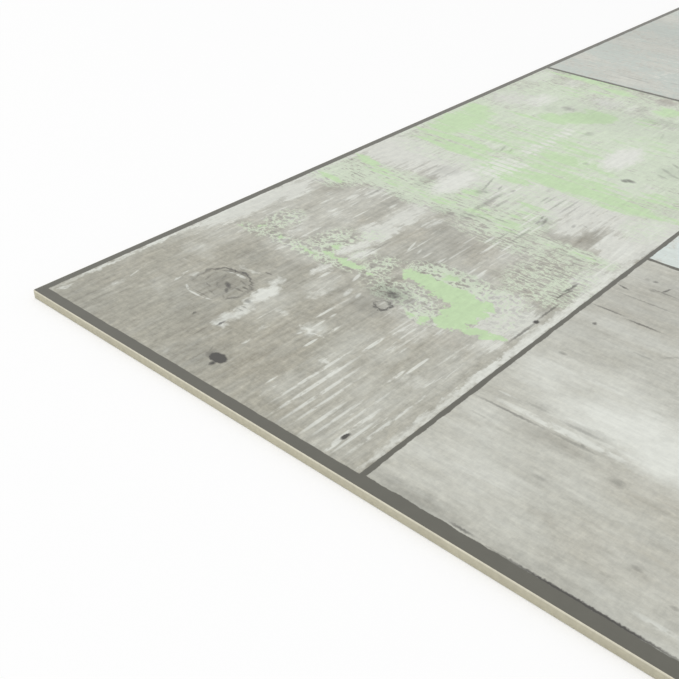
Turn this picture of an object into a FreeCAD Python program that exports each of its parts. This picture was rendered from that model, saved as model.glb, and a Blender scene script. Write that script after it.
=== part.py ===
"""Vinyl floor tile: one square of filled vinyl sheet, printed on its face and cut out with a die.

Millimetres. The origin is the centre of the back face, which lies on the floor. +Z points out of
the printed face, +X runs along the near edge and +Y away from it.
"""

import FreeCAD, Part
import math
import os

# The square from edge to edge, and the sheet from its back face to its printed face
SIDE = 304.8
THICKNESS = 1.5

# Radius in plan that the die leaves at each corner
CORNER_RADIUS = 0.3

# The die draws the printed face down as it enters, which rolls the edge to this radius
FACE_ROLL = 0.12

# The die breaks out at the back and leaves a narrow slanted edge there
BACK_BREAK = 0.08


def corner_arc(centre_x, centre_y, start_deg):
    """Quarter circle in plan, from start_deg on, round the given centre."""
    points = []
    for step_deg in (0.0, 45.0, 90.0):
        angle = math.radians(start_deg + step_deg)
        x = centre_x + CORNER_RADIUS * math.cos(angle)
        y = centre_y + CORNER_RADIUS * math.sin(angle)
        points.append(FreeCAD.Vector(x, y, 0.0))
    return points


def outline():
    """Plan of the tile at its back: four straight cuts joined by the corner radii."""
    inset = SIDE / 2.0 - CORNER_RADIUS
    arcs = [
        corner_arc(inset, inset, 0.0),
        corner_arc(-inset, inset, 90.0),
        corner_arc(-inset, -inset, 180.0),
        corner_arc(inset, -inset, 270.0),
    ]
    edges = []
    for index, arc in enumerate(arcs):
        following = arcs[(index + 1) % len(arcs)]
        edges.append(Part.Arc(*arc).toShape())
        edges.append(Part.LineSegment(arc[-1], following[0]).toShape())
    return Part.Wire(edges)


def edges_at(solid, height):
    """The ring of edges of the solid that lies level at this height."""
    ring = []
    for edge in solid.Edges:
        box = edge.BoundBox
        if abs(box.ZMin - height) < 1e-6 and abs(box.ZMax - height) < 1e-6:
            ring.append(edge)
    return ring


def vinyl_tile():
    """The tile with its cut edge: rolled at the face, upright, then broken at the back."""
    sheet = Part.Face(outline()).extrude(FreeCAD.Vector(0.0, 0.0, THICKNESS))
    rolled = sheet.makeFillet(FACE_ROLL, edges_at(sheet, THICKNESS))
    return rolled.makeChamfer(BACK_BREAK, edges_at(rolled, 0.0))


os.makedirs("parts", exist_ok=True)
tile = vinyl_tile()
tile.exportStep("parts/vinyl_tile.step")
print("vinyl_tile", "valid", tile.isValid(), "solids", len(tile.Solids), "volume", round(tile.Volume, 2))
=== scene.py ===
"""Vinyl floor tile: the printed, die-cut tile lying on a plain white floor.

Everything is in metres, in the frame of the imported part: the origin is the centre of the back
face, +Z points out of the printed face. The print is laid out in millimetres from the tile's
near left corner: u runs along the near edge and v along the left edge.
"""

import math

import bmesh
import bpy
from mathutils import Matrix, Vector


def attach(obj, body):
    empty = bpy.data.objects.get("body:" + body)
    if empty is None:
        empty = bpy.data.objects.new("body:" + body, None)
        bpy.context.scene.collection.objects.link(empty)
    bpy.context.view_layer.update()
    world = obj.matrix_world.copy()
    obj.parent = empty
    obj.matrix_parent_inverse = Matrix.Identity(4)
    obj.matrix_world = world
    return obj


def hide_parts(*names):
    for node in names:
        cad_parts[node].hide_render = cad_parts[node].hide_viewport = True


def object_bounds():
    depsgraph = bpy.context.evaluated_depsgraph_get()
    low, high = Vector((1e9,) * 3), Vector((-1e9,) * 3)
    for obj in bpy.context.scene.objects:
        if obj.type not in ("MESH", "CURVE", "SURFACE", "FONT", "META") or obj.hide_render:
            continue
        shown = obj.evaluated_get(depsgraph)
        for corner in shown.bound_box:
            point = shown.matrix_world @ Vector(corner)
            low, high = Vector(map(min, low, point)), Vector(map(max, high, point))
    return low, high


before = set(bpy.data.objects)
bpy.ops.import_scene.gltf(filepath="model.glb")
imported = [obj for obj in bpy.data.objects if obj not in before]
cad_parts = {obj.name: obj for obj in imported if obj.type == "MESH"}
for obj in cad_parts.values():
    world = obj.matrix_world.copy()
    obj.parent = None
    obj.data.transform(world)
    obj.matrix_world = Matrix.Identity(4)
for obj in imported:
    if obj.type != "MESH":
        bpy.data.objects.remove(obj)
CAD_LOW, CAD_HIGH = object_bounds()

bl_info = {
    "name": "Vinyl Floor Tile",
    "version": (1, 0, 0),
    "blender": (4, 5, 0),
    "location": "3D View > Sidebar > Tile",
    "description": "Builds a printed, die-cut vinyl floor tile and a plain studio floor for it",
    "category": "Add Mesh",
}

MM = 0.001

MATH = "ShaderNodeMath"
VECTOR = "ShaderNodeVectorMath"
MIX = "ShaderNodeMix"
RANGE = "ShaderNodeMapRange"
NOISE = "ShaderNodeTexNoise"
MAPPING = "ShaderNodeMapping"
# Slots of a Mix node: 0 is the factor, 2 and 3 are the numbers mixed, 6 and 7 the colours mixed.
# Slots of a Map Range node: 0 is the value, 1 and 2 bound it, and 3 and 4 are what it becomes there.
# What add needs for a Mix node that mixes two colours:
IN_COLOUR = {"data_type": "RGBA", "out": 2}


def linear(hex_colour):
    """An sRGB hex colour as linear red, green, blue and alpha."""
    channels = [int(hex_colour[at:at + 2], 16) / 255.0 for at in (1, 3, 5)]
    return tuple(c / 12.92 if c <= 0.04045 else ((c + 0.055) / 1.055) ** 2.4 for c in channels) + (1.0,)


# What a user would change

def size_property(name, description, metres):
    """A length that a user can set, in metres."""
    return bpy.props.FloatProperty(
        name=name, description=description, default=metres, unit="LENGTH", precision=5)


class TileSizes(bpy.types.PropertyGroup):
    """Sizes of the tile and of the print on it."""

    side: size_property("Side", "Length of each side of the square tile", CAD_HIGH[0] - CAD_LOW[0])
    thickness: size_property("Thickness", "From the back to the printed face", CAD_HIGH[2] - CAD_LOW[2])
    corner_radius: size_property("Corner radius", "Radius in plan at each corner", 0.3 * MM)
    face_roll: size_property("Face roll", "Radius that the die rolls onto the edge of the face", 0.12 * MM)
    back_break: size_property("Back break", "Slanted edge where the die broke out at the back", 0.08 * MM)
    board_pitch: size_property("Board pitch", "Width of a printed board from joint to joint", 76.2 * MM)
    first_board: size_property("First board", "From the left edge to the first printed joint", 67.55 * MM)
    joint: size_property("Joint", "Width of a printed joint between boards", 0.84 * MM)
    row_joint: size_property("Row joint", "Width of the printed joint across the middle", 1.1 * MM)
    border: size_property("Border", "Width of the border at the left, right and far edges", 1.45 * MM)
    near_border: size_property("Near border", "Width of the border at the near edge", 1.95 * MM)
    washed_border: size_property("Washed border", "Near border along the washed board", 2.25 * MM)


def colour_property(name, description, hex_colour):
    """A colour that a user can pick, given as sRGB hex."""
    return bpy.props.FloatVectorProperty(
        name=name, description=description, default=linear(hex_colour),
        subtype="COLOR", size=4, min=0.0, max=1.0)


class TileColours(bpy.types.PropertyGroup):
    """Inks of the print, and the vinyl that shows at the cut edge and the back."""

    wood_grey: colour_property("Grey wood", "Weathered wood of the printed boards", "#a6a497")
    wood_brown: colour_property("Brown wood", "Browner patches of the weathered wood", "#a5a090")
    wash: colour_property("Whitewash", "Worn whitewash on the boards", "#e2e4dc")
    green: colour_property("Green paint", "Flaked green paint", "#c2dbaf")
    pale_blue: colour_property("Blue paint", "Thin bluish paint of the paler boards", "#d7e0db")
    pale_grey: colour_property("Grey paint", "Thin grey paint of the paler boards", "#c0c7bf")
    rim: colour_property("Undercoat", "Pale remains of the green paint", "#d1ddc6")
    ink: colour_property("Joint ink", "Dark joints and border", "#605f56")
    hole: colour_property("Nail holes", "Nail holes and cracks", "#464440")
    edge: colour_property("Cut edge", "Filled vinyl at the cut edge", "#cdc8b1")
    # Paler line on top of the cut edge: the clear film, with a painted highlight of the rolled top edge;
    # also the pale filler specks of the back
    pale_vinyl_and_highlight: colour_property("Clear edge", "Edge of the clear wearing layer", "#dfdac6")
    back: colour_property("Back", "Filled vinyl at the back", "#b3afa0")


# Small helpers

def add(tree, kind, links=None, out=0, **settings):
    """Adds one node with its settings. A socket in links is joined, any other value is set."""
    node = tree.nodes.new(kind)
    count = len(tree.nodes)
    node.location = (180.0 * (count % 24), -220.0 * (count // 24))
    for name, value in settings.items():
        setattr(node, name, value)
    for slot, value in (links or {}).items():
        if isinstance(value, bpy.types.NodeSocket):
            tree.links.new(value, node.inputs[slot])
        else:
            node.inputs[slot].default_value = value
    return node.outputs[out] if len(node.outputs) else node


def new_material(name):
    """An empty material and its node tree."""
    material = bpy.data.materials.new(name)
    material.use_nodes = True
    material.node_tree.nodes.clear()
    return material, material.node_tree


# The boards of the print

class Board:
    """One printed board: its rectangle from joint to joint, its finish and its marks."""

    def __init__(self, name, low, high, upright, paint, rim, relief, wash, fray,
                 near_border=0.0, paint_left=0.0, marks=None):
        self.name = name
        self.low = low
        self.high = high
        # True where the grain runs along v
        self.upright = upright
        # Colours of the paint and of its thin remains
        self.paint = paint
        self.rim = rim
        # Strength of the wood's own pattern
        self.relief = relief
        # Share of whitewash, and how much smears, streaks and furrows change it
        self.wash, self.smear, self.streak, self.furrow = wash
        # How far the rims fray, in millimetres
        self.fray = fray
        # Width of the border at the near edge, for a board that lies there
        self.near_border = near_border
        # Share of paint on a board with no placed patches of it: at -1 there is none
        self.paint_left = paint_left
        self.marks = marks or {}

    def inked(self, side, sizes):
        """The rectangle that is left of the board inside its joints and the border."""
        half = sizes.joint / 2.0
        low = [start + (half if start > 0.0 else sizes.border) for start in self.low]
        if self.low[1] == 0.0:
            low[1] = self.near_border
        high = [end - (half if end < side - 1e-6 else sizes.border) for end in self.high]
        middle = 2 * sizes.board_pitch
        if self.low[1] == middle:
            low[1] = middle + sizes.row_joint / 2.0
        if self.high[1] == middle:
            high[1] = middle - sizes.row_joint / 2.0
        return low, high


def boards(sizes, colours):
    """The six boards. Turned half round, the tile shows the same layout."""
    side = sizes.side
    first = sizes.first_board
    row = sizes.board_pitch
    last = side - first
    green = {"paint": tuple(colours.green), "rim": tuple(colours.rim), "upright": True, "fray": 0.3}
    blue = {"paint": tuple(colours.pale_blue), "rim": tuple(colours.pale_blue), "upright": False}
    grey = {"paint": tuple(colours.pale_grey), "rim": tuple(colours.pale_grey), "upright": False}
    return [
        Board("green board", (0.0, 0.0), (first, 2 * row), relief=1.0, wash=(0.04, 0.5, 0.5, 1.6),
              near_border=sizes.near_border, marks=GREEN_BOARD_MARKS, **green),
        Board("washed board", (first, 0.0), (side, row), relief=0.85, wash=(0.42, 0.6, 0.2, 0.0),
              fray=0.6, near_border=sizes.washed_border, paint_left=-1.0, marks=WASHED_BOARD_MARKS, **blue),
        Board("pale blue board", (first, row), (side, 2 * row), relief=0.6, wash=(0.7, 0.4, 0.2, 0.0),
              fray=0.4, paint_left=0.4, **blue),
        Board("pale grey board", (0.0, 2 * row), (last, 3 * row), relief=0.8, wash=(0.55, 0.6, 0.4, 0.0),
              fray=0.4, paint_left=0.36, marks=GREY_BOARD_MARKS, **grey),
        Board("worn board", (0.0, 3 * row), (last, side), relief=0.8, wash=(0.4, 0.6, 0.3, 0.0),
              fray=0.4, **blue),
        Board("faded green board", (last, 2 * row), (side, side), relief=1.0, wash=(0.25, 0.7, 0.5, 0.0),
              paint_left=0.12, **green),
    ]


def board_outline(board, all_corners, side, sizes):
    """The board's outline in order, with its neighbours' corners on it and arcs at the tile's own."""
    inset = sizes.face_roll
    radius = sizes.corner_radius - inset
    steps = 4
    # Places closer than this are one
    close = 1e-7

    def inner(value):
        return min(max(value, inset), side - inset)

    rectangle = [board.low, (board.high[0], board.low[1]), board.high, (board.low[0], board.high[1])]
    points = []
    for index, corner in enumerate(rectangle):
        at_u = corner[0] in (0.0, side)
        at_v = corner[1] in (0.0, side)
        if at_u and at_v:
            centre = [inner(c) + (radius if c == 0.0 else -radius) for c in corner]
            start = math.pi + index * math.pi / 2.0
            for step in range(steps + 1):
                angle = start + step * math.pi / 2.0 / steps
                points.append((centre[0] + radius * math.cos(angle), centre[1] + radius * math.sin(angle)))
        else:
            points.append((inner(corner[0]), inner(corner[1])))
        following = rectangle[(index + 1) % 4]
        axis = 0 if index % 2 == 0 else 1
        ends = sorted((corner[axis], following[axis]))
        between = [c for c in all_corners
                   if abs(c[1 - axis] - corner[1 - axis]) < close
                   and ends[0] + close < c[axis] < ends[1] - close]
        between.sort(key=lambda c: c[axis], reverse=following[axis] < corner[axis])
        points.extend((inner(c[0]), inner(c[1])) for c in between)
    return points


# How far apart the boards lie in the noises of the grain, in millimetres, so that no two look alike
BOARDS_APART = 400.0


def face_mesh(sizes, rows):
    """The printed face: one polygon for each board, with its grain and the distances to its joints."""
    side = sizes.side
    corners = set()
    for board in rows:
        for u in (board.low[0], board.high[0]):
            for v in (board.low[1], board.high[1]):
                corners.add((u, v))
    mesh = bpy.data.meshes.new("printed_face")
    shape = bmesh.new()
    grain = shape.loops.layers.uv.new("grain")
    low_gap = shape.loops.layers.uv.new("gap_low")
    high_gap = shape.loops.layers.uv.new("gap_high")
    made = {}
    for number, board in enumerate(rows):
        corner_verts = []
        for u, v in board_outline(board, corners, side, sizes):
            key = (round(u / MM, 4), round(v / MM, 4))
            if key not in made:
                made[key] = shape.verts.new((u - side / 2.0, v - side / 2.0, sizes.thickness))
            if made[key] not in corner_verts:
                corner_verts.append(made[key])
        face = shape.faces.new(corner_verts)
        face.material_index = number
        low, high = board.inked(side, sizes)
        for loop in face.loops:
            u = loop.vert.co.x + side / 2.0
            v = loop.vert.co.y + side / 2.0
            along, across = (v, u) if board.upright else (u, v)
            loop[grain].uv = (along / MM, across / MM + BOARDS_APART * number)
            loop[low_gap].uv = ((u - low[0]) / MM, (v - low[1]) / MM)
            loop[high_gap].uv = ((high[0] - u) / MM, (high[1] - v) / MM)
    shape.to_mesh(mesh)
    shape.free()
    return mesh


# The tile's solid form, by Geometry Nodes

def edge_tree():
    """Carries the cut edge's section round the printed face and closes the back."""
    tree = bpy.data.node_groups.new("Die-cut edge", "GeometryNodeTree")
    sockets = (
        ("Face", "INPUT", "NodeSocketGeometry"),
        ("Thickness", "INPUT", "NodeSocketFloat"),
        ("Face roll", "INPUT", "NodeSocketFloat"),
        ("Back break", "INPUT", "NodeSocketFloat"),
        ("Roll steps", "INPUT", "NodeSocketInt"),
        ("Edge vinyl", "INPUT", "NodeSocketMaterial"),
        ("Back vinyl", "INPUT", "NodeSocketMaterial"),
        ("Tile", "OUTPUT", "NodeSocketGeometry"),
    )
    for name, direction, kind in sockets:
        tree.interface.new_socket(name, in_out=direction, socket_type=kind)
    given = tree.nodes.new("NodeGroupInput")
    face, thickness, roll, break_size, steps, edge_vinyl, back_vinyl = given.outputs[:7]

    # The face's rim, as a closed path whose normals point level out of the tile
    faces_beside = add(tree, "GeometryNodeInputMeshEdgeNeighbors")
    is_rim = add(tree, "FunctionNodeCompare", {2: faces_beside, 3: 1}, data_type="INT", operation="EQUAL")
    rim = add(tree, "GeometryNodeMeshToCurve", {"Mesh": face, "Selection": is_rim})
    level = add(tree, "GeometryNodeSetCurveNormal", {"Curve": rim}, mode="Z_UP")
    normal = add(tree, "GeometryNodeInputNormal")
    place = add(tree, "GeometryNodeInputPosition")
    outness = add(tree, VECTOR, {0: normal, 1: place}, out="Value", operation="DOT_PRODUCT")
    mean_outness = add(tree, "GeometryNodeFieldOnDomain", {0: outness}, domain="POINT", data_type="FLOAT")
    inward = add(tree, "FunctionNodeCompare", {0: mean_outness, 1: 0.0}, operation="LESS_THAN")
    path = add(tree, "GeometryNodeReverseCurve", {"Curve": level, "Selection": inward})

    # The section: x out of the tile and y down, from the face to the back
    arc = add(tree, "GeometryNodeCurveArc", {
        "Resolution": steps, "Radius": roll, "Start Angle": -math.pi / 2.0, "Sweep Angle": math.pi / 2.0})
    arc_low = add(tree, "ShaderNodeCombineXYZ", {"Y": roll})
    arc_placed = add(tree, "GeometryNodeTransform", {"Geometry": arc, "Translation": arc_low})
    land_foot = add(tree, MATH, {0: thickness, 1: break_size}, operation="SUBTRACT")
    foot_out = add(tree, MATH, {0: roll, 1: break_size}, operation="SUBTRACT")
    minus_thickness = add(tree, MATH, {0: thickness, 1: -1.0}, operation="MULTIPLY")
    land_from = add(tree, "ShaderNodeCombineXYZ", {"X": roll, "Y": roll})
    land_to = add(tree, "ShaderNodeCombineXYZ", {"X": roll, "Y": land_foot})
    break_to = add(tree, "ShaderNodeCombineXYZ", {"X": foot_out, "Y": thickness})
    land = add(tree, "GeometryNodeCurvePrimitiveLine", {"Start": land_from, "End": land_to})
    slant = add(tree, "GeometryNodeCurvePrimitiveLine", {"Start": land_to, "End": break_to})
    section = tree.nodes.new("GeometryNodeJoinGeometry")
    for part in (arc_placed, land, slant):
        tree.links.new(part, section.inputs[0])
    band = add(tree, "GeometryNodeCurveToMesh", {"Curve": path, "Profile Curve": section.outputs[0]})

    # The back: the same path, moved out to the section's foot and filled
    outward = add(tree, VECTOR, {0: normal, "Scale": foot_out}, operation="SCALE")
    down = add(tree, "ShaderNodeCombineXYZ", {"Z": minus_thickness})
    to_foot = add(tree, VECTOR, {0: outward, 1: down}, operation="ADD")
    foot = add(tree, "GeometryNodeSetPosition", {"Geometry": path, "Offset": to_foot})
    filled = add(tree, "GeometryNodeFillCurve", {"Curve": foot}, mode="NGONS")
    back = add(tree, "GeometryNodeFlipFaces", {"Mesh": filled})

    # One closed skin with its three materials
    skins = tree.nodes.new("GeometryNodeJoinGeometry")
    for part in (face, band, back):
        tree.links.new(part, skins.inputs[0])
    seam = 0.004 * MM
    closed = add(tree, "GeometryNodeMergeByDistance", {"Geometry": skins.outputs[0], "Distance": seam})
    real = add(tree, "GeometryNodeRealizeInstances", {"Geometry": closed})
    facing = add(tree, "ShaderNodeSeparateXYZ", {0: add(tree, "GeometryNodeInputNormal")}, out=2)
    flat = 0.999
    not_face = add(tree, "FunctionNodeCompare", {0: facing, 1: flat}, operation="LESS_THAN")
    at_back = add(tree, "FunctionNodeCompare", {0: facing, 1: -flat}, operation="LESS_THAN")
    edged = add(tree, "GeometryNodeSetMaterial", {
        "Geometry": real, "Selection": not_face, "Material": edge_vinyl})
    backed = add(tree, "GeometryNodeSetMaterial", {
        "Geometry": edged, "Selection": at_back, "Material": back_vinyl})
    result = tree.nodes.new("NodeGroupOutput")
    tree.links.new(backed, result.inputs[0])
    return tree


def solid_tile(face, sizes, films, edge_vinyl, back_vinyl):
    """The tile's closed mesh: the printed face, the cut edge round it and the back."""
    for film in films:
        face.materials.append(film)
    blank = bpy.data.objects.new("tile_blank", face)
    bpy.context.scene.collection.objects.link(blank)
    tree = edge_tree()
    cut = blank.modifiers.new("Die-cut edge", "NODES")
    cut.node_group = tree
    values = {
        "Thickness": sizes.thickness,
        "Face roll": sizes.face_roll,
        "Back break": sizes.back_break,
        "Roll steps": 6,
        "Edge vinyl": edge_vinyl,
        "Back vinyl": back_vinyl,
    }
    for item in tree.interface.items_tree:
        if item.name in values:
            cut[item.identifier] = values[item.name]
    evaluated = blank.evaluated_get(bpy.context.evaluated_depsgraph_get())
    mesh = bpy.data.meshes.new_from_object(evaluated)
    mesh.name = "printed_tile"
    bpy.data.objects.remove(blank)
    tile = bpy.data.objects.new("printed_tile", mesh)
    bpy.context.scene.collection.objects.link(tile)
    return tile


# Marks of the print, in millimetres from the tile's near left corner. A patch is its middle u, v, its
# half lengths along u and v and its strength, and its turn in degrees where it is turned. A stroke
# runs from u, v to u, v, with its width and strength. Long lists go up the board, stretch by stretch.

# A ring is a knot's rim: its middle, its half lengths, its line's width and strength, and the
# direction of its darkest side.
KNOT = (20.8, 21.7, 5.1, 4.6, 1.0, 1.3, -0.1, 0.65)
SWIRL = (44.2, 34.1, 1.3, 1.25, 0.7, 2.8, 0.1, -0.1)

# Two ladders of short white strokes across the grain, one rung above another
LADDERS = tuple(
    (23.4 + 0.9 * (step % 3), 86.8 + 1.75 * step, 31.2 + 0.8 * (step % 2), 86.9 + 1.75 * step, 1.15, 1.8)
    for step in range(6)
) + tuple(
    (26.4 + 0.7 * (step % 2), 101.5 + 2.1 * step, 29.8 - 0.5 * (step % 3), 101.6 + 2.1 * step, 1.1, 1.1)
    for step in range(9)
)

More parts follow.
